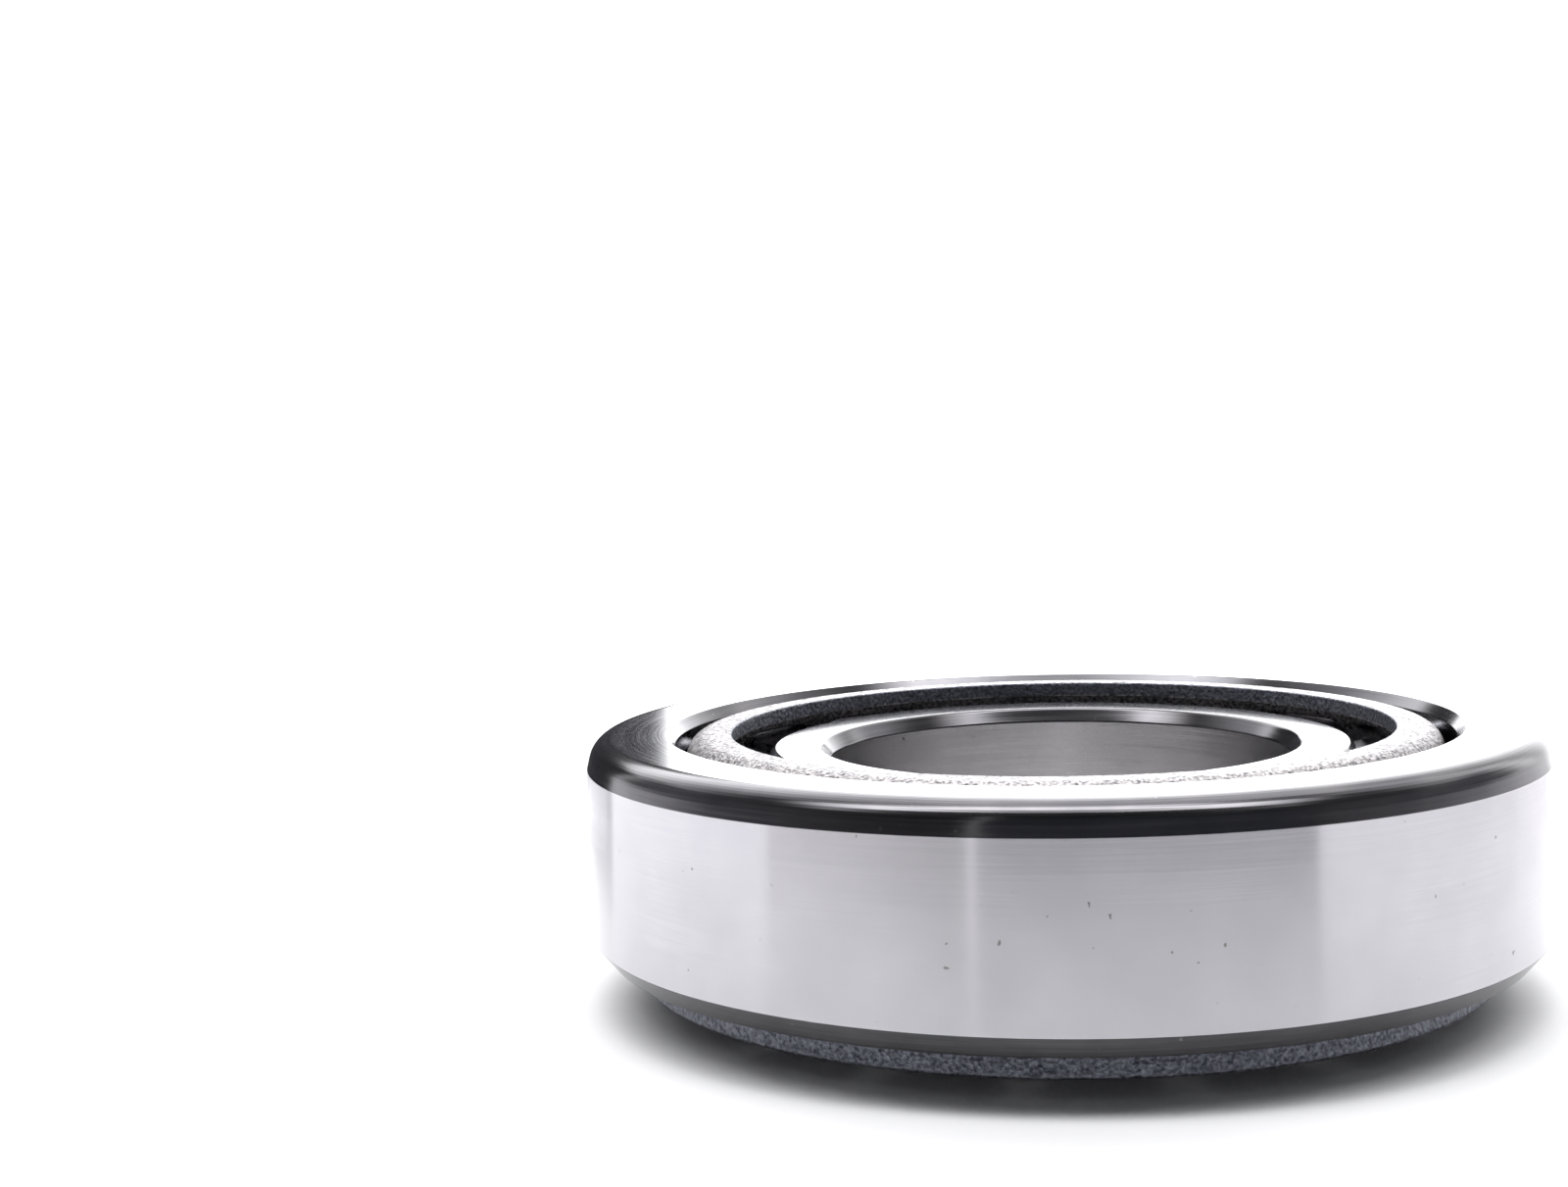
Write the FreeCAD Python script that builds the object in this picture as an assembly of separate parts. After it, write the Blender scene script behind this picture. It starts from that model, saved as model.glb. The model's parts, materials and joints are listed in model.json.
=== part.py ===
"""Single row tapered roller bearing, 30 x 62 x 17.25 mm.

It is four kinds of piece: an outer ring (cup), an inner ring (cone), a pressed steel cage and 17 tapered
rollers. The bearing lies flat with its axis along Z. The inner ring's back face, which bears on the shaft
shoulder, is at Z = 0, and the outer ring's back face, which bears on the housing shoulder, is on top.

Both raceways and every roller are cones that share one apex on the axis, above the bearing, so the rollers
roll without sliding. Lengths are in millimetres and angles in radians.
"""

import FreeCAD, Part
import math
import os
from FreeCAD import Vector

# Boundary dimensions
BORE = 30.0
OUTSIDE = 62.0
BEARING_WIDTH = 17.25  # back face of the inner ring to back face of the outer ring
INNER_RING_WIDTH = 16.0
OUTER_RING_WIDTH = 14.0

# Rolling geometry
ROLLER_COUNT = 17
OUTER_RACEWAY_SLOPE = 0.25  # radius gained per unit of height, downwards
OUTER_RACEWAY_SMALL_DIAMETER = 49.99  # at the outer ring's back face
ROLLER_HALF_ANGLE = math.radians(1.9)
ROLLER_LENGTH = 11.3
ROLLER_LARGE_END_HEIGHT = 3.55  # of the large end's centre
ROLLER_CORNER_RADIUS = 0.45
RUNNING_GAP = 0.03  # between a roller and each raceway or the large rib

# Inner ring
LARGE_RIB_RADIUS = 22.6
SMALL_RIB_RADIUS = 19.0
SMALL_RIB_GAP = 0.25  # from the rollers' small ends
UNDERCUT_DEPTH = 0.2
UNDERCUT_WIDTH = 0.8
BACK_BORE_CHAMFER = (1.3, 1.6)  # radial, axial
FRONT_BORE_CHAMFER = (0.65, 0.9)
RIB_CHAMFER = 0.35

# Outer ring
BACK_CORNER = (0.5, 1.9)  # radial, axial: a steep turned flank
BACK_CORNER_RADIUS = 1.6  # between the flank and the back face
FRONT_CORNER = (1.15, 1.35)
RACEWAY_MOUTH_CHAMFER = (0.58, 0.7)  # at the back face
RACEWAY_FOOT_CHAMFER = (0.3, 0.3)  # at the front face

# Cage
SHEET = 1.0
CAGE_FOOT_RADIUS = 27.8
CAGE_FOOT_HEIGHT = 1.4
CAGE_TOP_HEIGHT = 17.1
CAGE_ANGLE = math.radians(13.0)
FLANGE_INSIDE_RADIUS = 21.5
BEND_RADIUS = 0.45  # inside the flange's bend
POCKET_SIDE_GAP = 0.15
POCKET_END_GAP = 0.2
POCKET_WIDTH_SHARE = 0.78  # of the roller's width there, where the pocket opens outwards
POCKET_CORNER_RADIUS = 0.7

ORIGIN = Vector(0, 0, 0)
UP = Vector(0, 0, 1)
FULL_TURN = 360

# Derived cones
OUTER_ANGLE = math.atan(OUTER_RACEWAY_SLOPE)
ROLLER_AXIS_ANGLE = OUTER_ANGLE - ROLLER_HALF_ANGLE
INNER_ANGLE = OUTER_ANGLE - 2 * ROLLER_HALF_ANGLE
APEX_HEIGHT = BEARING_WIDTH + OUTER_RACEWAY_SMALL_DIAMETER / 2 / OUTER_RACEWAY_SLOPE
LARGE_END = (APEX_HEIGHT - ROLLER_LARGE_END_HEIGHT) / math.cos(ROLLER_AXIS_ANGLE)  # apex to large end
SMALL_END = LARGE_END - ROLLER_LENGTH


def outer_raceway_radius(height):
    return (APEX_HEIGHT - height) * math.tan(OUTER_ANGLE)


def inner_raceway_radius(height):
    return (APEX_HEIGHT - height) * math.tan(INNER_ANGLE)


def roller_radius(along):
    """Radius of a roller at a distance from the apex along its axis, less its running gap."""
    return along * math.tan(ROLLER_HALF_ANGLE) - RUNNING_GAP


def rounded_wire(corners):
    """Closed wire in the XZ plane through (x, z, radius) corners, each rounded by a tangent arc."""
    points = [Vector(x, 0, z) for x, z, _ in corners]
    arcs = []
    for i, (_, _, radius) in enumerate(corners):
        here = points[i]
        back = (points[i - 1] - here).normalize()
        ahead = (points[(i + 1) % len(points)] - here).normalize()
        half_angle = back.getAngle(ahead) / 2
        reach = radius / math.tan(half_angle)
        inward = (back + ahead).normalize()
        middle = here + inward * (radius / math.sin(half_angle) - radius)
        arcs.append((here + back * reach, middle, here + ahead * reach))
    edges = []
    for i, (start, middle, end) in enumerate(arcs):
        if corners[i][2] > 0:
            edges.append(Part.Arc(start, middle, end).toShape())
        following = arcs[(i + 1) % len(arcs)][0]
        edges.append(Part.LineSegment(end, following).toShape())
    return Part.Wire(edges)


def ring(corners):
    """Solid swept by a rounded outline turning once about Z."""
    return Part.Face(rounded_wire(corners)).revolve(ORIGIN, UP, FULL_TURN)


def outer_ring():
    """Cup: ground outside and faces, turned corners, and a tapered raceway that widens downwards."""
    outside = OUTSIDE / 2
    top = BEARING_WIDTH
    bottom = top - OUTER_RING_WIDTH
    mouth_radial, mouth_axial = RACEWAY_MOUTH_CHAMFER
    foot_radial, foot_axial = RACEWAY_FOOT_CHAMFER
    mouth = outer_raceway_radius(top - mouth_axial)
    foot = outer_raceway_radius(bottom + foot_axial)
    return ring(
        [
            (foot, bottom + foot_axial, 0.1),
            (foot + foot_radial, bottom, 0.1),
            (outside - FRONT_CORNER[0], bottom, 0.3),
            (outside, bottom + FRONT_CORNER[1], 0.3),
            (outside, top - BACK_CORNER[1], 0.3),
            (outside - BACK_CORNER[0], top, BACK_CORNER_RADIUS),
            (mouth + mouth_radial, top, 0.12),
            (mouth, top - mouth_axial, 0.1),
        ]
    )


def large_rib_height(radius):
    """Height of the rib's face, which is tangent to the rollers' spherical large ends."""
    contact = (inner_raceway_radius(ROLLER_LARGE_END_HEIGHT) + LARGE_RIB_RADIUS) / 2
    angle = math.asin(contact / (LARGE_END + RUNNING_GAP))
    contact_height = APEX_HEIGHT - (LARGE_END + RUNNING_GAP) * math.cos(angle)
    return contact_height + (radius - contact) * math.tan(angle)


def small_rib_height(radius):
    """Height of the face that keeps the rollers from sliding off upwards; it lies square to their axes."""
    along = SMALL_END - SMALL_RIB_GAP
    axis_radius = along * math.sin(ROLLER_AXIS_ANGLE)
    axis_height = APEX_HEIGHT - along * math.cos(ROLLER_AXIS_ANGLE)
    return axis_height + (radius - axis_radius) * math.tan(ROLLER_AXIS_ANGLE)


def inner_ring():
    """Cone: bore, large rib at the back face, tapered raceway between two grinding undercuts, small rib."""
    bore = BORE / 2
    top = INNER_RING_WIDTH
    large_root = inner_raceway_radius(large_rib_height(SMALL_RIB_RADIUS)) - UNDERCUT_DEPTH
    small_root = inner_raceway_radius(small_rib_height(SMALL_RIB_RADIUS)) - UNDERCUT_DEPTH
    raceway_foot = large_rib_height(large_root) + UNDERCUT_WIDTH
    raceway_top = small_rib_height(small_root) - UNDERCUT_WIDTH
    rib_edge = LARGE_RIB_RADIUS - RIB_CHAMFER
    return ring(
        [
            (bore, BACK_BORE_CHAMFER[1], 0.3),
            (bore, top - FRONT_BORE_CHAMFER[1], 0.2),
            (bore + FRONT_BORE_CHAMFER[0], top, 0.3),
            (SMALL_RIB_RADIUS - RIB_CHAMFER, top, 0.12),
            (SMALL_RIB_RADIUS, top - RIB_CHAMFER, 0.12),
            (SMALL_RIB_RADIUS, small_rib_height(SMALL_RIB_RADIUS), 0.08),
            (small_root, small_rib_height(small_root), 0.12),
            (small_root, raceway_top + UNDERCUT_DEPTH, 0.12),
            (inner_raceway_radius(raceway_top), raceway_top, 0.05),
            (inner_raceway_radius(raceway_foot), raceway_foot, 0.05),
            (large_root, raceway_foot - UNDERCUT_DEPTH, 0.12),
            (large_root, large_rib_height(large_root), 0.12),
            (rib_edge, large_rib_height(rib_edge), 0.12),
            (LARGE_RIB_RADIUS, large_rib_height(rib_edge) - RIB_CHAMFER, 0.12),
            (LARGE_RIB_RADIUS, RIB_CHAMFER, 0.12),
            (rib_edge, 0, 0.12),
            (bore + BACK_BORE_CHAMFER[0], 0, 0.4),
        ]
    )


def on_roller_axis(shape, turn):
    """Moves a shape from the Z axis, apex at the origin and large end down, onto one roller's axis."""
    shape.rotate(ORIGIN, Vector(0, 1, 0), -math.degrees(ROLLER_AXIS_ANGLE))
    shape.translate(UP * APEX_HEIGHT)
    shape.rotate(ORIGIN, UP, turn)
    return shape


def roller():
    """One roller about the Z axis: rounded corners, a flat small end and a large end on the apex's sphere."""
    corner = ROLLER_CORNER_RADIUS
    rim = -math.sqrt(LARGE_END**2 - roller_radius(LARGE_END) ** 2)
    blank = ring(
        [
            (0, -LARGE_END - 1, 0),
            (roller_radius(LARGE_END), rim, corner),
            (roller_radius(SMALL_END), -SMALL_END, corner),
            (0, -SMALL_END, 0),
        ]
    )
    return blank.common(Part.makeSphere(LARGE_END))


def pocket_cutter():
    """One pocket about the Z axis: a window punched square to the sheet, with sides coined to the roller."""
    high = -SMALL_END + POCKET_END_GAP
    low = -LARGE_END - POCKET_END_GAP
    coined = Part.makeCone(
        roller_radius(LARGE_END) + POCKET_SIDE_GAP,
        roller_radius(SMALL_END) + POCKET_SIDE_GAP,
        high - low,
        Vector(0, 0, low),
        UP,
    )
    wide = POCKET_WIDTH_SHARE * roller_radius(LARGE_END)
    narrow = POCKET_WIDTH_SHARE * roller_radius(SMALL_END)
    window = rounded_wire(
        [
            (-wide, low, POCKET_CORNER_RADIUS),
            (wide, low, POCKET_CORNER_RADIUS),
            (narrow, high, POCKET_CORNER_RADIUS),
            (-narrow, high, POCKET_CORNER_RADIUS),
        ]
    )
    window.rotate(ORIGIN, UP, 90)
    reach = 2 * roller_radius(LARGE_END)
    return coined.fuse(Part.Face(window).extrude(Vector(reach, 0, 0)))


def cage():
    """One sheet pressed to a cone, its top bent in to a flange, with a pocket for each roller."""
    rise = CAGE_TOP_HEIGHT - CAGE_FOOT_HEIGHT
    shoulder = CAGE_FOOT_RADIUS - rise * math.tan(CAGE_ANGLE)
    across = SHEET / math.cos(CAGE_ANGLE)  # the sheet's thickness measured level
    inner_shoulder = shoulder + SHEET * math.tan(CAGE_ANGLE) - across
    shell = ring(
        [
            (CAGE_FOOT_RADIUS - across, CAGE_FOOT_HEIGHT, 0.15),
            (CAGE_FOOT_RADIUS, CAGE_FOOT_HEIGHT, 0.25),
            (shoulder, CAGE_TOP_HEIGHT, BEND_RADIUS + SHEET),
            (FLANGE_INSIDE_RADIUS, CAGE_TOP_HEIGHT, 0.2),
            (FLANGE_INSIDE_RADIUS, CAGE_TOP_HEIGHT - SHEET, 0.1),
            (inner_shoulder, CAGE_TOP_HEIGHT - SHEET, BEND_RADIUS),
        ]
    )
    cutters = [
        on_roller_axis(pocket_cutter(), FULL_TURN * i / ROLLER_COUNT)
        for i in range(ROLLER_COUNT)
    ]
    return shell.cut(Part.makeCompound(cutters))


def save(name, shape):
    """Writes one piece, which is always a single closed solid, and prints what it measures."""
    (solid,) = shape.Solids
    solid.exportStep(f"parts/{name}.step")
    print(name, solid.isValid(), round(solid.Volume, 2), "mm3")


def main():
    os.makedirs("parts", exist_ok=True)
    save("outer_ring", outer_ring())
    save("inner_ring", inner_ring())
    save("cage", cage())
    for i in range(ROLLER_COUNT):
        save(f"roller_{i + 1:02d}", on_roller_axis(roller(), FULL_TURN * i / ROLLER_COUNT))


main()
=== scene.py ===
"""Looks of a single row tapered roller bearing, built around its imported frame.

The bearing lies flat on a pale floor with its axis upright. Both rings, the cage and the 17 rollers are
fine meshes with the same outlines as the frame's own pieces, which they replace. Lengths are in metres.
"""

import json
import math

import bmesh
import bpy
from mathutils import Matrix, Vector


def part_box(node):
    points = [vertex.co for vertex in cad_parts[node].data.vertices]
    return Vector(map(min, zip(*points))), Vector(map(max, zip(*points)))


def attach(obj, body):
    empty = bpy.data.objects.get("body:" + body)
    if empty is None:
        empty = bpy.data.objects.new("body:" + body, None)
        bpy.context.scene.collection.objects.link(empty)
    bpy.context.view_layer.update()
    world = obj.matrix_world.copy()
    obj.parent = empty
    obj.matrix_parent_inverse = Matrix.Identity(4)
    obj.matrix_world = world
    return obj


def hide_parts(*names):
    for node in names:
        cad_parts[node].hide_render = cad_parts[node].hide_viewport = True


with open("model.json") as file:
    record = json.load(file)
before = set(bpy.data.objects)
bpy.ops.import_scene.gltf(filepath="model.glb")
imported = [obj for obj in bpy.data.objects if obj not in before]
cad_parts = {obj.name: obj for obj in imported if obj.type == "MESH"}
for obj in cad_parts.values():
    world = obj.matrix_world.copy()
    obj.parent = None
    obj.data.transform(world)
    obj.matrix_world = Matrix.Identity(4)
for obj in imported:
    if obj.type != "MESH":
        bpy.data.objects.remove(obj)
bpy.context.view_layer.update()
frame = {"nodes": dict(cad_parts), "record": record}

MM = 0.001

# Boundary sizes, from the frame
OUTER_LOW, OUTER_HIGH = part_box("outer_ring")
INNER_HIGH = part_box("inner_ring")[1]
CAGE_LOW, CAGE_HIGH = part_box("cage")
OUTSIDE_RADIUS = OUTER_HIGH.x
TOP = OUTER_HIGH.z
BORE_RADIUS = frame["record"]["mounts"][0]["dims"]["r_mm"] * MM
ROLLERS = [name for name in sorted(frame["nodes"]) if name.startswith("roller_")]
PITCH = math.tau / len(ROLLERS)

# Rolling geometry: both raceways and all rollers are cones with one apex, on the axis above the bearing
OUTER_SLOPE = 0.25
OUTER_SMALL_RADIUS = 24.995 * MM  # of the outer raceway's cone at the bearing's top
ROLLER_HALF_ANGLE = math.radians(1.9)
ROLLER_LENGTH = 11.3 * MM
ROLLER_LARGE_END_HEIGHT = 3.55 * MM  # of the large end's centre
OUTER_ANGLE = math.atan(OUTER_SLOPE)
AXIS_ANGLE = OUTER_ANGLE - ROLLER_HALF_ANGLE
INNER_ANGLE = AXIS_ANGLE - ROLLER_HALF_ANGLE
APEX = TOP + OUTER_SMALL_RADIUS / OUTER_SLOPE
LARGE_END = (APEX - ROLLER_LARGE_END_HEIGHT) / math.cos(AXIS_ANGLE)  # apex to a roller's large end
SMALL_END = LARGE_END - ROLLER_LENGTH
RUNNING_GAP = 0.03 * MM

# Rollers
ROLLER_CORNER_RADIUS = 0.45 * MM
RECESS_RADIUS = 1.3 * MM  # of the hollow in a large end's middle
RECESS_DEPTH = 0.25 * MM

# Inner ring
LARGE_RIB_RADIUS = INNER_HIGH.x
SMALL_RIB_RADIUS = 19 * MM
RIB_CHAMFER = 0.35 * MM
SMALL_RIB_GAP = 0.25 * MM
UNDERCUT_DEPTH = 0.2 * MM
UNDERCUT_WIDTH = 0.8 * MM
BACK_BORE_CHAMFER = Vector((1.3, 1.6)) * MM  # radial, axial
FRONT_BORE_CHAMFER = Vector((0.65, 0.9)) * MM

# Outer ring
BACK_CORNER = Vector((0.5, 1.9)) * MM  # radial, axial: a steep turned flank
BACK_CORNER_RADIUS = 1.6 * MM  # between the flank and the back face
FRONT_CORNER = Vector((1.15, 1.35)) * MM
MOUTH_CHAMFER = Vector((0.58, 0.7)) * MM
FOOT_CHAMFER = Vector((0.3, 0.3)) * MM
BAND = Vector((0.025, 3.8)) * MM  # the outside's slight taper in towards the back corner
TURNED_EDGE = 0.12 * MM  # rounding of a chamfer's edges
RACEWAY_EDGE = 0.1 * MM

# Cage
SHEET = 1.0 * MM
CAGE_ANGLE = math.radians(13)
CAGE_FOOT_RADIUS = 27.8 * MM
FLANGE_INSIDE_RADIUS = 21.5 * MM
BEND_RADIUS = 0.45 * MM
POCKET_SIDE_GAP = 0.15 * MM
POCKET_END_GAP = 0.2 * MM
POCKET_WIDTH_SHARE = 0.78
POCKET_CORNER_RADIUS = 0.7 * MM

# Mesh fineness
RING_STEPS = 408
ROLLER_STEPS = 72
ARC_STEP = math.radians(8)
HOLD = 0.05 * MM  # width of the strip that keeps a flat face flat beside a rounded edge

# Floor
FLOOR_RADIUS = 80 * MM
FLOOR_GAP = 0.02 * MM  # below the bearing
FLOOR_ALBEDO = 0.75

# Camera
CAMERA_PLACE = Vector((0, -0.14965, 0.03817))
CAMERA_TARGET = Vector((-0.01791, 0, 0.02599))
CAMERA_ROLL = math.radians(-1.6726)
CAMERA_LENS = 52.27


# Outlines and meshes


def inner_raceway_radius(height):
    return (APEX - height) * math.tan(INNER_ANGLE)


def outer_raceway_radius(height):
    return (APEX - height) * math.tan(OUTER_ANGLE)


def roller_radius(along):
    """Radius of a roller at a distance from the apex along its axis, less its running gap."""
    return along * math.tan(ROLLER_HALF_ANGLE) - RUNNING_GAP


def rounded(corners, closed=True):
    """Outline points (radius, height, finish) through corners (radius, height, rounding, finish).

    A corner's finish is that of the run to the next corner. An arc beside a turned run is turned too. Long
    runs get a narrow strip at each end, to keep their shading flat.
    """
    points = []
    count = len(corners)
    for i, (radius, height, rounding, finish) in enumerate(corners):
        here = Vector((radius, height))
        before = corners[i - 1]
        after = corners[(i + 1) % count]
        is_end = not closed and i in (0, count - 1)
        arc = [here]
        arc_finish = finish
        if rounding > 0 and not is_end:
            back = (Vector(before[:2]) - here).normalized()
            ahead = (Vector(after[:2]) - here).normalized()
            half_angle = back.angle(ahead) / 2
            start = here + back * rounding / math.tan(half_angle)
            centre = here + (back + ahead).normalized() * rounding / math.sin(half_angle)
            turn = math.pi - 2 * half_angle
            direction = 1 if back.cross(ahead) < 0 else -1
            steps = max(2, math.ceil(turn / ARC_STEP))
            arc = [
                centre + Matrix.Rotation(direction * turn * k / steps, 2) @ (start - centre)
                for k in range(steps + 1)
            ]
            if "turned" in (before[3], finish):
                arc_finish = "turned"
        points.extend((p, arc_finish) for p in arc[:-1])
        points.append((arc[-1], finish))
    outline = []
    for i, (point, finish) in enumerate(points):
        outline.append((point.x, point.y, finish))
        if i == len(points) - 1 and not closed:
            break
        run = points[(i + 1) % len(points)][0] - point
        if run.length > 4 * HOLD:
            for place in (point + run.normalized() * HOLD, point + run - run.normalized() * HOLD):
                outline.append((place.x, place.y, finish))
    return outline


def even_angles(steps):
    return [math.tau * i / steps for i in range(steps)]


def sweep(shape, outline, angles, materials, closed=True):
    """Adds to a bmesh the surface that an outline makes as it turns once about Z through the given angles."""
    columns = [
        [shape.verts.new((r * math.cos(a), r * math.sin(a), z)) for r, z, _ in outline]
        for a in angles
    ]
    rows = len(outline) if closed else len(outline) - 1
    for i, column in enumerate(columns):
        following = columns[(i + 1) % len(columns)]
        for j in range(rows):
            k = (j + 1) % len(outline)
            face = shape.faces.new((column[j], following[j], following[k], column[k]))
            face.material_index = materials.index(outline[j][2])


def finished(name, shape, materials):
    """Turns a bmesh into a smooth-shaded object that replaces the frame's node of the same name."""
    bmesh.ops.remove_doubles(shape, verts=shape.verts, dist=1e-7)
    bmesh.ops.dissolve_degenerate(shape, edges=shape.edges, dist=1e-8)
    bmesh.ops.recalc_face_normals(shape, faces=shape.faces)
    mesh = bpy.data.meshes.new(f"{name}_fine")
    shape.to_mesh(mesh)
    shape.free()
    mesh.shade_smooth()
    for material in materials:
        mesh.materials.append(MATERIALS[material])
    piece = bpy.data.objects.new(f"{name}_fine", mesh)
    bpy.context.scene.collection.objects.link(piece)
    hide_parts(name)
    return piece


def lathe(name, corners):
    """One ring, from its rounded outline."""
    outline = rounded(corners)
    materials = sorted({finish for _, _, finish in outline})
    shape = bmesh.new()
    sweep(shape, outline, even_angles(RING_STEPS), materials)
    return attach(finished(name, shape, materials), name)


# Materials

NICK_COLOUR = (0.2, 0.195, 0.19)
NICK_SCALE = 1.7  # per millimetre
NICK_RANGE = (0.755, 0.785)  # noise above it is a nick
LAY_ALONG = 0.12  # stretch of the lay's lines, per millimetre


def math_node(nodes, links, operation, first, second=None):
    node = nodes.new("ShaderNodeMath")
    node.operation = operation
    for socket, value in zip(node.inputs, (first, second)):
        if value is None:
            continue
        if isinstance(value, (int, float)):
            socket.default_value = value
        else:
            links.new(value, socket)
    return node.outputs[0]


def start_material(name):
    material = bpy.data.materials.new(name)
    material.use_nodes = True
    tree = material.node_tree
    return material, tree.nodes, tree.links, tree.nodes["Principled BSDF"]


def millimetres(nodes, links):
    """Place on the piece, in millimetres."""
    place = nodes.new("ShaderNodeTexCoord")
    scaled = nodes.new("ShaderNodeVectorMath")
    scaled.operation = "SCALE"
    scaled.inputs["Scale"].default_value = 1000
    links.new(place.outputs["Object"], scaled.inputs[0])
    return scaled.outputs[0]


def lay_noise(nodes, links, place, across, along, detail=3.0):
    """Noise drawn out into lines round the axis, as grinding and turning leave them on any face of a ring."""
    squeeze = nodes.new("ShaderNodeVectorMath")
    squeeze.operation = "MULTIPLY"
    squeeze.inputs[1].default_value = (along, along, across)
    links.new(place, squeeze.inputs[0])
    flat = nodes.new("ShaderNodeVectorMath")
    flat.operation = "MULTIPLY"
    flat.inputs[1].default_value = (across, across, 0)
    links.new(place, flat.inputs[0])
    radius = nodes.new("ShaderNodeVectorMath")
    radius.operation = "LENGTH"
    links.new(flat.outputs[0], radius.inputs[0])
    noise = nodes.new("ShaderNodeTexNoise")
    noise.noise_dimensions = "4D"
    noise.inputs["Scale"].default_value = 1
    noise.inputs["Detail"].default_value = detail
    links.new(squeeze.outputs[0], noise.inputs["Vector"])
    links.new(radius.outputs["Value"], noise.inputs["W"])
    return noise.outputs["Fac"]


def plain_noise(nodes, links, place, scale, detail=3.0):
    noise = nodes.new("ShaderNodeTexNoise")
    noise.inputs["Scale"].default_value = scale
    noise.inputs["Detail"].default_value = detail
    links.new(place, noise.inputs["Vector"])
    return noise.outputs["Fac"]


def ramp(nodes, links, value, low, high, first, last):
    """Maps a value from low..high to first..last."""
    node = nodes.new("ShaderNodeMapRange")
    node.inputs["From Min"].default_value = low
    node.inputs["From Max"].default_value = high
    node.inputs["To Min"].default_value = first
    node.inputs["To Max"].default_value = last
    links.new(value, node.inputs["Value"])
    return node.outputs[0]


def blend(nodes, links, share, first, last):
    """Colour that runs from first to last, each a plain colour or a socket, as a share goes from 0 to 1."""
    node = nodes.new("ShaderNodeMix")
    node.data_type = "RGBA"
    for name, colour in (("A", first), ("B", last)):
        if isinstance(colour, tuple):
            node.inputs[name].default_value = (*colour, 1)
        else:
            links.new(colour, node.inputs[name])
    links.new(share, node.inputs["Factor"])
    return node.outputs["Result"]


def bump(nodes, links, height, distance, strength, below=None):
    node = nodes.new("ShaderNodeBump")
    node.inputs["Distance"].default_value = distance
    node.inputs["Strength"].default_value = strength
    links.new(height, node.inputs["Height"])
    if below is not None:
        links.new(below, node.inputs["Normal"])
    return node.outputs[0]


def brush_round(nodes, links, bsdf, amount):
    """Stretches highlights across a lay that runs round the axis."""
    tangent = nodes.new("ShaderNodeTangent")
    tangent.direction_type = "RADIAL"
    tangent.axis = "Z"
    links.new(tangent.outputs[0], bsdf.inputs["Tangent"])
    bsdf.inputs["Anisotropic"].default_value = amount
    bsdf.inputs["Anisotropic Rotation"].default_value = 0.25


def machined_steel(name, dark, light, roughness, anisotropic, lines, depth):
    """Bare steel with a lay round the axis: colour range, roughness range, line spacing and line depth."""
    material, nodes, links, bsdf = start_material(name)
    place = millimetres(nodes, links)
    fine = lay_noise(nodes, links, place, lines, LAY_ALONG)
    broad = plain_noise(nodes, links, place, 0.22)
    mixed = math_node(nodes, links, "MULTIPLY", fine, broad)
    shade = ramp(nodes, links, mixed, 0.12, 0.42, 0, 1)
    nick = ramp(nodes, links, plain_noise(nodes, links, place, NICK_SCALE, 1.5), *NICK_RANGE, 0, 1)
    clean = blend(nodes, links, shade, dark, light)
    links.new(blend(nodes, links, nick, clean, NICK_COLOUR), bsdf.inputs["Base Color"])
    links.new(ramp(nodes, links, fine, 0.3, 0.7, *roughness), bsdf.inputs["Roughness"])
    links.new(bump(nodes, links, fine, depth, 0.5), bsdf.inputs["Normal"])
    bsdf.inputs["Metallic"].default_value = 1
    brush_round(nodes, links, bsdf, anisotropic)
    return material


def cage_steel(name, dark, light):
    """Tumbled pressed sheet: an even, sparkling grain with no lay."""
    material, nodes, links, bsdf = start_material(name)
    place = millimetres(nodes, links)
    grain = plain_noise(nodes, links, place, 4, 4)
    dents = plain_noise(nodes, links, place, 1.2, 2)
    shade = ramp(nodes, links, grain, 0.3, 0.7, 0, 1)
    links.new(blend(nodes, links, shade, dark, light), bsdf.inputs["Base Color"])
    links.new(ramp(nodes, links, grain, 0.3, 0.7, 0.5, 0.3), bsdf.inputs["Roughness"])
    coarse = bump(nodes, links, dents, 0.12 * MM, 0.8)
    links.new(bump(nodes, links, grain, 0.16 * MM, 1, coarse), bsdf.inputs["Normal"])
    bsdf.inputs["Metallic"].default_value = 1
    return material


MATERIALS = {
    "ground": machined_steel(
        "ground_steel", (0.43, 0.425, 0.447), (0.483, 0.479, 0.5), (0.19, 0.23), 1.0, 14, 0.001 * MM
    ),
    # Lighter copy of the ground steel: painted light that brightens the bore
    "bored": machined_steel(
        "bore_painted_light_steel", (0.59, 0.58, 0.59), (0.69, 0.68, 0.685), (0.2, 0.26), 0.5, 14, 0.001 * MM
    ),
    "faced": machined_steel(
        "faced_steel", (0.34, 0.34, 0.352), (0.55, 0.55, 0.56), (0.09, 0.14), 0.3, 9, 0.0008 * MM
    ),
    "turned": machined_steel(
        "turned_steel", (0.078, 0.078, 0.084), (0.125, 0.121, 0.125), (0.14, 0.2), 0.4, 6, 0.003 * MM
    ),
    "raceway": machined_steel(
        "raceway_steel", (0.40, 0.40, 0.42), (0.50, 0.50, 0.52), (0.12, 0.18), 0.5, 20, 0.0006 * MM
    ),
    "cage": cage_steel("cage_steel", (0.03, 0.03, 0.036), (0.47, 0.445, 0.44)),
    # Darker copy of the cage steel: painted shade on the cage's foot and on the flange's inner edge
    "dull": cage_steel("painted_shade_steel", (0.055, 0.059, 0.072), (0.2, 0.209, 0.24)),
}


# Rings


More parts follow.
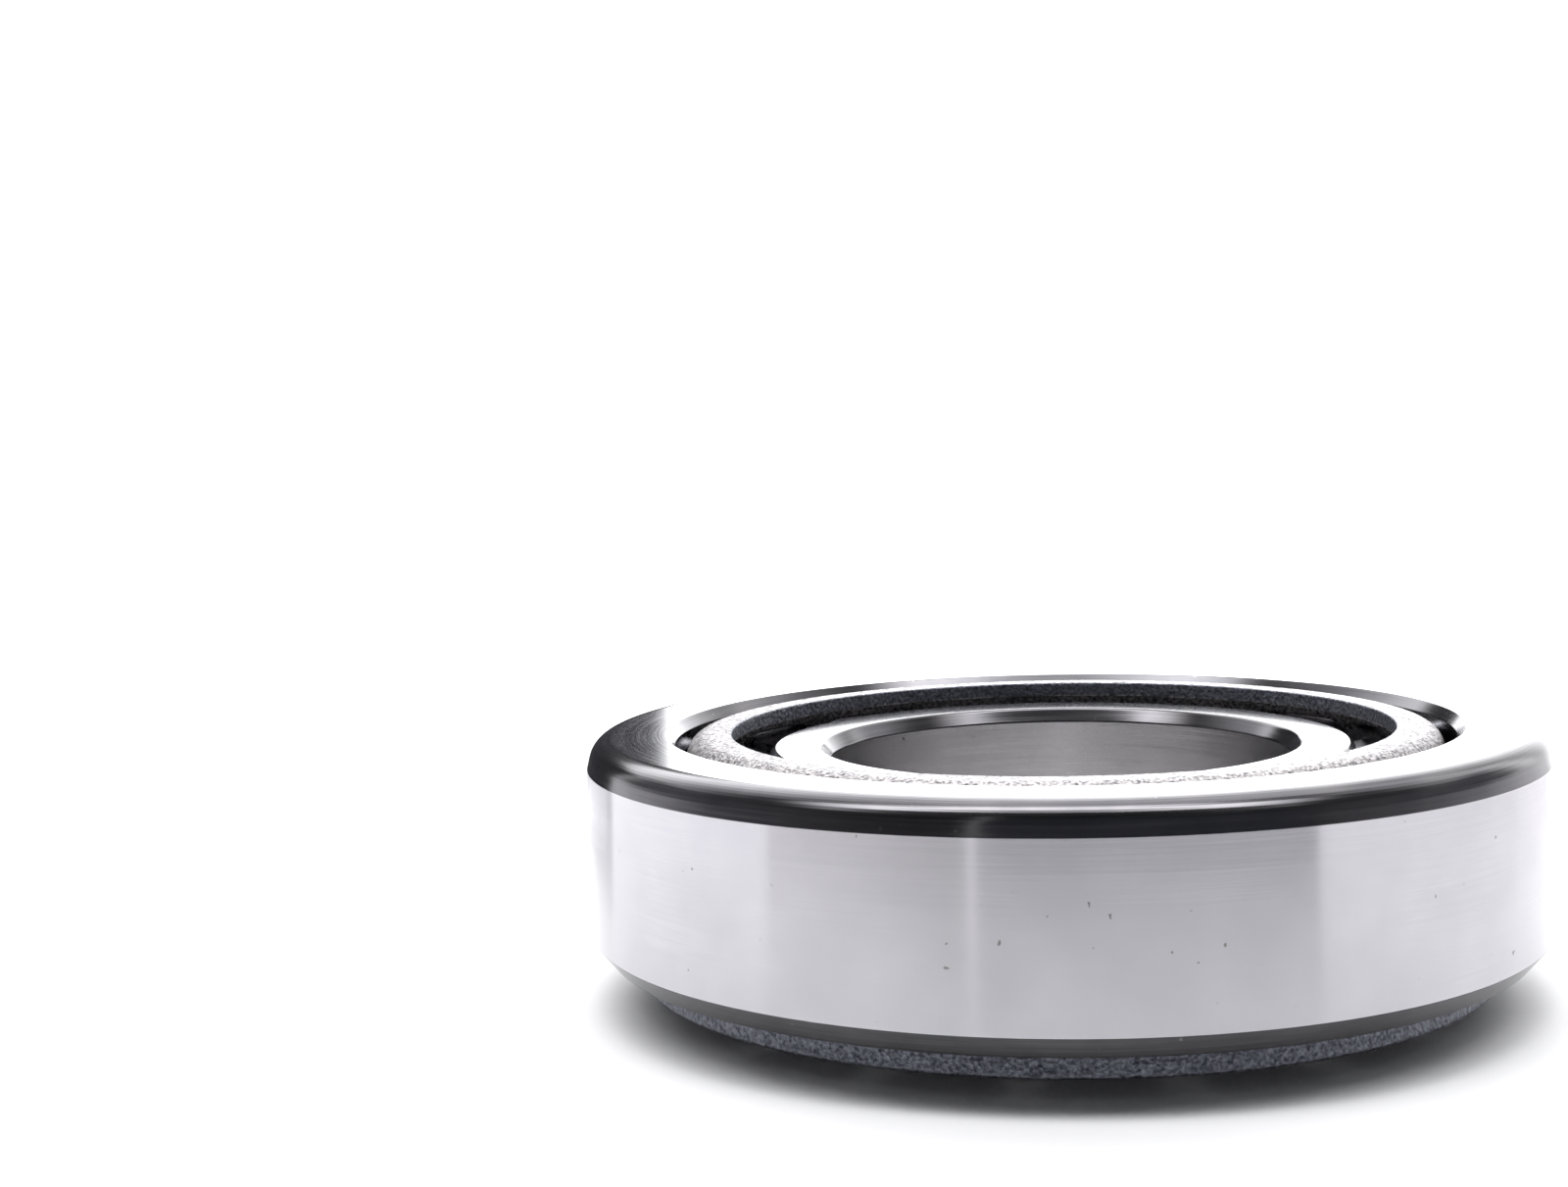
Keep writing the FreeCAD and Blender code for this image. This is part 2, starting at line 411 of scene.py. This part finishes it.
def outer_ring():
    """Ground outside and faces, turned corners, honed raceway."""
    bottom = OUTER_LOW.z
    mouth = outer_raceway_radius(TOP - MOUTH_CHAMFER.y)
    foot = outer_raceway_radius(bottom + FOOT_CHAMFER.y)
    outside = OUTSIDE_RADIUS
    corners = [
        (foot, bottom + FOOT_CHAMFER.y, RACEWAY_EDGE, "turned"),
        (foot + FOOT_CHAMFER.x, bottom, RACEWAY_EDGE, "faced"),
        (outside - FRONT_CORNER.x, bottom, 0.3 * MM, "turned"),
        (outside, bottom + FRONT_CORNER.y, 0.1 * MM, "ground"),
        (outside, TOP - BAND.y, 0, "ground"),
        (outside - BAND.x, TOP - BACK_CORNER.y, 0.1 * MM, "turned"),
        (outside - BACK_CORNER.x, TOP, BACK_CORNER_RADIUS, "faced"),
        (mouth + MOUTH_CHAMFER.x, TOP, TURNED_EDGE, "turned"),
        (mouth, TOP - MOUTH_CHAMFER.y, RACEWAY_EDGE, "raceway"),
    ]
    return lathe("outer_ring", corners)


def large_rib_height(radius):
    """Height of the rib's face, tangent to the rollers' large ends."""
    contact = (inner_raceway_radius(APEX - LARGE_END * math.cos(AXIS_ANGLE)) + LARGE_RIB_RADIUS) / 2
    reach = LARGE_END + RUNNING_GAP
    angle = math.asin(contact / reach)
    return APEX - reach * math.cos(angle) + (radius - contact) * math.tan(angle)


def small_rib_height(radius):
    """Height of the face above the rollers' small ends, square to their axes."""
    along = SMALL_END - SMALL_RIB_GAP
    slope = math.tan(AXIS_ANGLE)
    return APEX - along * math.cos(AXIS_ANGLE) + (radius - along * math.sin(AXIS_ANGLE)) * slope


def inner_ring():
    """Ground bore, front face and ribs, honed raceway between two undercuts."""
    bore = BORE_RADIUS
    top = INNER_HIGH.z
    large_root = inner_raceway_radius(large_rib_height(SMALL_RIB_RADIUS)) - UNDERCUT_DEPTH
    small_root = inner_raceway_radius(small_rib_height(SMALL_RIB_RADIUS)) - UNDERCUT_DEPTH
    raceway_foot = large_rib_height(large_root) + UNDERCUT_WIDTH
    raceway_top = small_rib_height(small_root) - UNDERCUT_WIDTH
    edge = LARGE_RIB_RADIUS - RIB_CHAMFER
    corners = [
        # The bore takes the lighter copy of the ground steel, as painted light
        (bore, BACK_BORE_CHAMFER.y, 0.3 * MM, "bored"),
        (bore, top - FRONT_BORE_CHAMFER.y, 0.2 * MM, "turned"),
        (bore + FRONT_BORE_CHAMFER.x, top, 0.3 * MM, "faced"),
        (SMALL_RIB_RADIUS - RIB_CHAMFER, top, TURNED_EDGE, "turned"),
        (SMALL_RIB_RADIUS, top - RIB_CHAMFER, TURNED_EDGE, "turned"),
        (SMALL_RIB_RADIUS, small_rib_height(SMALL_RIB_RADIUS), 0.08 * MM, "ground"),
        (small_root, small_rib_height(small_root), TURNED_EDGE, "turned"),
        (small_root, raceway_top + UNDERCUT_DEPTH, TURNED_EDGE, "turned"),
        (inner_raceway_radius(raceway_top), raceway_top, 0.05 * MM, "raceway"),
        (inner_raceway_radius(raceway_foot), raceway_foot, 0.05 * MM, "turned"),
        (large_root, raceway_foot - UNDERCUT_DEPTH, TURNED_EDGE, "turned"),
        (large_root, large_rib_height(large_root), TURNED_EDGE, "raceway"),
        (edge, large_rib_height(edge), TURNED_EDGE, "turned"),
        (LARGE_RIB_RADIUS, large_rib_height(edge) - RIB_CHAMFER, TURNED_EDGE, "ground"),
        (LARGE_RIB_RADIUS, RIB_CHAMFER, TURNED_EDGE, "turned"),
        (edge, 0, TURNED_EDGE, "faced"),
        (bore + BACK_BORE_CHAMFER.x, 0, 0.4 * MM, "turned"),
    ]
    return lathe("inner_ring", corners)


# Rollers and cage


def roller(name, turn):
    """Ground body, flat small end, large end on the apex's sphere with a shallow recess in its middle."""
    large = roller_radius(LARGE_END)
    rim = -math.sqrt(LARGE_END**2 - large**2)
    corners = [
        (0, -LARGE_END + RECESS_DEPTH, 0, "turned"),
        (RECESS_RADIUS - RECESS_DEPTH, -LARGE_END + RECESS_DEPTH, 0.1 * MM, "turned"),
        (RECESS_RADIUS, -LARGE_END, 0.08 * MM, "raceway"),
        (large, rim, ROLLER_CORNER_RADIUS, "raceway"),
        (roller_radius(SMALL_END), -SMALL_END, ROLLER_CORNER_RADIUS, "ground"),
        (0, -SMALL_END, 0, "ground"),
    ]
    outline = rounded(corners, closed=False)
    materials = sorted({finish for _, _, finish in outline})
    shape = bmesh.new()
    sweep(shape, outline, even_angles(ROLLER_STEPS), materials, closed=False)
    piece = finished(name, shape, materials)
    lean = Matrix.Rotation(-AXIS_ANGLE, 4, "Y")
    piece.matrix_world = Matrix.Rotation(turn, 4, "Z") @ Matrix.Translation((0, 0, APEX)) @ lean
    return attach(piece, name)


# The cage's sheet: a point of its conical wall is placed by how far up the slope it is and how far out of
# the middle of the sheet, and a pocket's outline by how far up the slope and how far to the side.
WALL_UP = Vector((-math.sin(CAGE_ANGLE), math.cos(CAGE_ANGLE)))
WALL_OUT = Vector((math.cos(CAGE_ANGLE), math.sin(CAGE_ANGLE)))
WALL_FOOT = Vector((CAGE_FOOT_RADIUS, CAGE_LOW.z)) - WALL_OUT * SHEET / 2
PANEL_LOW = 1.55 * MM  # up the slope, where the panel that holds the pockets begins and ends
PANEL_HIGH = 14.45 * MM
PANEL_STEPS_ACROSS = 24
PANEL_STEPS_UP = 40
HALF_CORNER_STEPS = 6
ROUNDED_EDGE = 0.12 * MM  # of a pocket
ROUNDED_EDGE_STEPS = 4
WALL_STEPS = 6  # through the sheet, between a pocket's rounded edges
BORDER_SHARES = (1, 0.75, 0.5, 0.3, 0.12)  # from a pocket's edge to the panel's border


def wall_point(up, out):
    """Radius and height of a point of the conical wall."""
    return WALL_FOOT + WALL_UP * up + WALL_OUT * out


def crowded(steps):
    """Shares from 0 to 1, closer together near both ends."""
    return [0.5 * k / steps + 0.25 * (1 - math.cos(math.pi * k / steps)) for k in range(steps + 1)]


def pocket_half_width(along, up, out):
    """Half of a pocket's width, punched or coined to the roller, at a distance from the apex."""
    radius = roller_radius(along)
    punched = POCKET_WIDTH_SHARE * radius
    place = wall_point(up, out)
    axis = Vector((along * math.sin(AXIS_ANGLE), APEX - along * math.cos(AXIS_ANGLE)))
    coined = math.sqrt((radius + POCKET_SIDE_GAP) ** 2 - (place - axis).length_squared)
    return max(punched, coined)


def pocket_loop(out, growth):
    """Pocket outline at one depth in the sheet, as (up, aside) points matched to the panel's border."""
    ends = []
    for along, gap in ((LARGE_END, POCKET_END_GAP + growth), (SMALL_END, -POCKET_END_GAP - growth)):
        axis = Vector((along * math.sin(AXIS_ANGLE), APEX - along * math.cos(AXIS_ANGLE)))
        up = (axis - WALL_FOOT).dot(WALL_UP)
        ends.append((up - gap, pocket_half_width(along, up, out) + growth))
    (low, wide), (high, narrow) = ends
    corners = [(low, -wide), (low, wide), (high, narrow), (high, -narrow)]
    return rounded_loop(corners, POCKET_CORNER_RADIUS + growth)


def rounded_loop(corners, rounding):
    """Loop round four rounded corners, in four stretches from the middle of one corner to the next."""
    points = [Vector(c) for c in corners]
    arcs = []
    for i, here in enumerate(points):
        back = (points[i - 1] - here).normalized()
        ahead = (points[(i + 1) % 4] - here).normalized()
        half_angle = back.angle(ahead) / 2
        centre = here + (back + ahead).normalized() * rounding / math.sin(half_angle)
        start = here + back * rounding / math.tan(half_angle)
        turn = math.pi - 2 * half_angle
        side = -1 if back.cross(ahead) > 0 else 1
        angles = [side * turn * k / (2 * HALF_CORNER_STEPS) for k in range(2 * HALF_CORNER_STEPS + 1)]
        arcs.append([centre + Matrix.Rotation(angle, 2) @ (start - centre) for angle in angles])
    loop = []
    for i in range(4):
        stretch = arcs[i][HALF_CORNER_STEPS:] + arcs[(i + 1) % 4][: HALF_CORNER_STEPS + 1]
        steps = PANEL_STEPS_ACROSS if i % 2 == 0 else PANEL_STEPS_UP
        loop.extend(along_line(stretch, share) for share in crowded(steps)[:-1])
    return loop


def along_line(points, share):
    """Point at a share of the length of a line of points."""
    lengths = [(b - a).length for a, b in zip(points, points[1:])]
    left = share * sum(lengths)
    for start, end, length in zip(points, points[1:], lengths):
        if left <= length:
            return start.lerp(end, left / length)
        left -= length
    return points[-1]


def panel_border():
    """The panel's border as (up, turn) points, in step with a pocket's loop."""
    half = PITCH / 2
    places = ((PANEL_LOW, -half), (PANEL_LOW, half), (PANEL_HIGH, half), (PANEL_HIGH, -half))
    corners = [Vector(place) for place in places]
    border = []
    for i in range(4):
        steps = PANEL_STEPS_ACROSS if i % 2 == 0 else PANEL_STEPS_UP
        border.extend(corners[i].lerp(corners[(i + 1) % 4], share) for share in crowded(steps)[:-1])
    return border


def panel_rings():
    """Rings of (up, turn, out) points: outer border, over the pocket's edges, to the inner border."""

    def turned(loop, out):
        return [Vector((up, math.asin(aside / wall_point(up, out).x))) for up, aside in loop]

    border = panel_border()
    rings = []
    half = SHEET / 2
    edge = turned(pocket_loop(half, ROUNDED_EDGE), half)
    for share in BORDER_SHARES:
        rings.append([(*a.lerp(b, share), half) for a, b in zip(edge, border)])
    depths = []
    for k in range(ROUNDED_EDGE_STEPS + 1):
        angle = math.pi / 2 * k / ROUNDED_EDGE_STEPS
        depths.append((half - ROUNDED_EDGE * (1 - math.cos(angle)), ROUNDED_EDGE * (1 - math.sin(angle))))
    plain = SHEET - 2 * ROUNDED_EDGE
    middle = [(plain / 2 - plain * k / WALL_STEPS, 0) for k in range(1, WALL_STEPS)]
    levels = depths + middle + [(-out, growth) for out, growth in reversed(depths)]
    for out, growth in levels:
        rings.append([(*p, out) for p in turned(pocket_loop(out, growth), out)])
    edge = turned(pocket_loop(-half, ROUNDED_EDGE), -half)
    for share in reversed(BORDER_SHARES):
        rings.append([(*a.lerp(b, share), -half) for a, b in zip(edge, border)])
    return rings


def cage():
    """Pressed sheet: 17 pocketed panels, a plain foot below them and a crown bent in to a flange above."""
    shape = bmesh.new()
    materials = ["cage", "dull"]
    rings = panel_rings()
    for i in range(len(ROLLERS)):
        loops = []
        for ring in rings:
            loop = []
            for up, turn, out in ring:
                radius, height = wall_point(up, out)
                angle = turn + i * PITCH
                loop.append(shape.verts.new((radius * math.cos(angle), radius * math.sin(angle), height)))
            loops.append(loop)
        for inner, outer in zip(loops, loops[1:]):
            for j in range(len(inner)):
                k = (j + 1) % len(inner)
                shape.faces.new((inner[j], inner[k], outer[k], outer[j]))
    angles = [
        PITCH * (i - 0.5 + share)
        for i in range(len(ROLLERS))
        for share in crowded(PANEL_STEPS_ACROSS)[:-1]
    ]
    half = SHEET / 2
    low_out, low_in = wall_point(PANEL_LOW, half), wall_point(PANEL_LOW, -half)
    level = SHEET / math.cos(CAGE_ANGLE)
    # The foot takes the darker steel, as painted shade
    foot = [
        (*low_out, 0, "dull"),
        (CAGE_FOOT_RADIUS, CAGE_LOW.z, 0.25 * MM, "dull"),
        (CAGE_FOOT_RADIUS - level, CAGE_LOW.z, 0.15 * MM, "dull"),
        (*low_in, 0, "dull"),
    ]
    high_out, high_in = wall_point(PANEL_HIGH, half), wall_point(PANEL_HIGH, -half)
    top = CAGE_HIGH.z
    shoulder = CAGE_FOOT_RADIUS - (top - CAGE_LOW.z) * math.tan(CAGE_ANGLE)
    inner_shoulder = shoulder + SHEET * math.tan(CAGE_ANGLE) - level
    crown = [
        (*high_out, 0, "cage"),
        (shoulder, top, BEND_RADIUS + SHEET, "cage"),
        # The flange's inner edge takes the darker steel, as painted shade
        (FLANGE_INSIDE_RADIUS, top, 0.12 * MM, "dull"),
        (FLANGE_INSIDE_RADIUS, top - SHEET, 0.1 * MM, "cage"),
        (inner_shoulder, top - SHEET, BEND_RADIUS, "cage"),
        (*high_in, 0, "cage"),
    ]
    for corners in (foot, crown):
        sweep(shape, rounded(corners, closed=False), angles, materials, closed=False)
    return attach(finished("cage", shape, materials), "cage")


outer_ring()
inner_ring()
cage()
for i, name in enumerate(ROLLERS):
    roller(name, i * PITCH)


# Studio


def floor():
    bpy.ops.mesh.primitive_circle_add(vertices=96, radius=FLOOR_RADIUS, fill_type="NGON")
    plane = bpy.context.object
    plane.name = "floor"
    plane.location.z = -FLOOR_GAP
    material, _, _, bsdf = start_material("floor")
    bsdf.inputs["Base Color"].default_value = (FLOOR_ALBEDO, FLOOR_ALBEDO, FLOOR_ALBEDO, 1)
    bsdf.inputs["Roughness"].default_value = 0.7
    plane.data.materials.append(material)


def smooth_step(nodes, links, value, low, high):
    node = nodes.new("ShaderNodeMapRange")
    node.interpolation_type = "SMOOTHSTEP"
    node.inputs["From Min"].default_value = low
    node.inputs["From Max"].default_value = high
    links.new(value, node.inputs["Value"])
    return node.outputs[0]


def zone(nodes, links, value, low, high, softness):
    """1 where a value lies between low and high, falling softly to 0 outside."""
    rise = smooth_step(nodes, links, value, low - softness, low + softness)
    fall = smooth_step(nodes, links, value, high + softness, high - softness)
    return math_node(nodes, links, "MULTIPLY", rise, fall)


def studio_light():
    """Surrounding light: white walls, a bright lamp overhead and a dark side behind the camera.

    A direction has an azimuth, 0 towards the camera and positive to its right, and an elevation, in degrees.
    Each layer lays a brightness over the ones before it, within soft-edged spans of those angles.
    """
    world = bpy.data.worlds.new("studio")
    bpy.context.scene.world = world
    world.use_nodes = True
    nodes, links = world.node_tree.nodes, world.node_tree.links
    nodes.clear()
    place = nodes.new("ShaderNodeTexCoord")
    direction = nodes.new("ShaderNodeSeparateXYZ")
    links.new(place.outputs["Generated"], direction.inputs[0])
    x, y, height = direction.outputs
    towards = math_node(nodes, links, "MULTIPLY", y, -1)
    azimuth = math_node(nodes, links, "ARCTAN2", x, towards)
    elevation = math_node(nodes, links, "ARCSINE", height)

    def degrees(value):
        return math_node(nodes, links, "MULTIPLY", value, math.degrees(1))

    azimuth = degrees(azimuth)
    elevation = degrees(elevation)

    def layer(below, brightness, *zones):
        share = zones[0]
        for other in zones[1:]:
            share = math_node(nodes, links, "MULTIPLY", share, other)
        return blend(nodes, links, share, below, brightness)

    def fade(value, low, high, first, last):
        return blend(nodes, links, ramp(nodes, links, value, low, high, 0, 1), first, last)

    def span(value, low, high, softness):
        return zone(nodes, links, value, low, high, softness)

    aside = math_node(nodes, links, "ABSOLUTE", azimuth)
    front = span(azimuth, -19, 58, 0.7)
    low = span(elevation, -100, 6, 4)
    below_ceiling = span(elevation, -100, 50, 8)

    # The room from above down, then the white walls behind and beside the bearing
    light = fade(aside, 45, 100, (0.05, 0.05, 0.055), (0.25, 0.25, 0.27))
    light = layer(light, fade(aside, 100, 140, (0.25, 0.25, 0.27), (3, 3, 3.05)), span(aside, 100, 200, 0.1))
    light = layer(light, (4, 4, 4.1), span(azimuth, -200, -140, 8), below_ceiling)
    rightward = fade(azimuth, 140, 176, (0.7, 0.7, 0.72), (4.6, 4.6, 4.7))
    light = layer(light, rightward, span(azimuth, 140, 200, 5), below_ceiling)
    gloom = fade(aside, 45, 100, (0.12, 0.12, 0.135), (0.38, 0.38, 0.41))
    light = layer(light, gloom, span(aside, -10, 128, 8), span(elevation, -100, 30, 4))

    # Pale surroundings near the floor
    light = layer(light, (2.9, 2.88, 3), span(azimuth, -200, -136, 1), low)
    light = layer(light, (2.0, 1.98, 2.04), span(azimuth, -136, -69, 1), low)
    light = layer(light, (1.6, 1.58, 1.63), span(azimuth, 58, 145, 1), low)
    leftward = fade(azimuth, -69, -20, (1.4, 1.38, 1.4), (0.6, 0.59, 0.6))
    light = layer(light, leftward, span(azimuth, -69, -19, 1), low)
    light = layer(light, (0.6, 0.59, 0.62), front, low)

    # The dark side behind the camera, a bright gap in it, and a dark box behind on the left
    shade = fade(elevation, 22, 48, (0.16, 0.17, 0.195), (0.05, 0.055, 0.065))
    light = layer(light, shade, front, span(elevation, 0, 75, 3))
    gap = span(azimuth, -20.7, -18.7, 0.4)
    light = layer(light, (1.4, 1.4, 1.4), gap, span(elevation, -100, 50, 5))
    card = span(azimuth, -170.2, -131, 0.3)
    light = layer(light, (0.06, 0.06, 0.07), card, span(elevation, -9, 22, 2))

    # A long lamp overhead, from side to side, that hangs further forward for the floor than for the steel
    rays = nodes.new("ShaderNodeLightPath")
    forward = math_node(nodes, links, "MULTIPLY", rays.outputs["Is Diffuse Ray"], 0.11)
    depth = math_node(nodes, links, "ADD", y, forward)
    overhead = span(height, 0.3, 2, 0.1)
    light = layer(light, (9, 9, 9.1), span(x, -0.6, 0.55, 0.15), span(depth, -0.28, 0, 0.06), overhead)

    # The camera itself sees plain white behind the bearing
    surround = nodes.new("ShaderNodeBackground")
    links.new(light, surround.inputs["Color"])
    backdrop = nodes.new("ShaderNodeBackground")
    backdrop.inputs["Color"].default_value = (1.6, 1.6, 1.6, 1)
    choose = nodes.new("ShaderNodeMixShader")
    links.new(rays.outputs["Is Camera Ray"], choose.inputs[0])
    links.new(surround.outputs[0], choose.inputs[1])
    links.new(backdrop.outputs[0], choose.inputs[2])
    output = nodes.new("ShaderNodeOutputWorld")
    links.new(choose.outputs[0], output.inputs[0])


def camera():
    data = bpy.data.cameras.new("camera")
    data.lens = CAMERA_LENS
    data.clip_start = 1 * MM
    lens = bpy.data.objects.new("camera", data)
    bpy.context.scene.collection.objects.link(lens)
    aim = (CAMERA_TARGET - CAMERA_PLACE).to_track_quat("-Z", "Y").to_matrix().to_4x4()
    lens.matrix_world = Matrix.Translation(CAMERA_PLACE) @ aim @ Matrix.Rotation(CAMERA_ROLL, 4, "Z")
    bpy.context.scene.camera = lens


floor()
studio_light()
camera()
bpy.context.scene.view_settings.view_transform = "Standard"
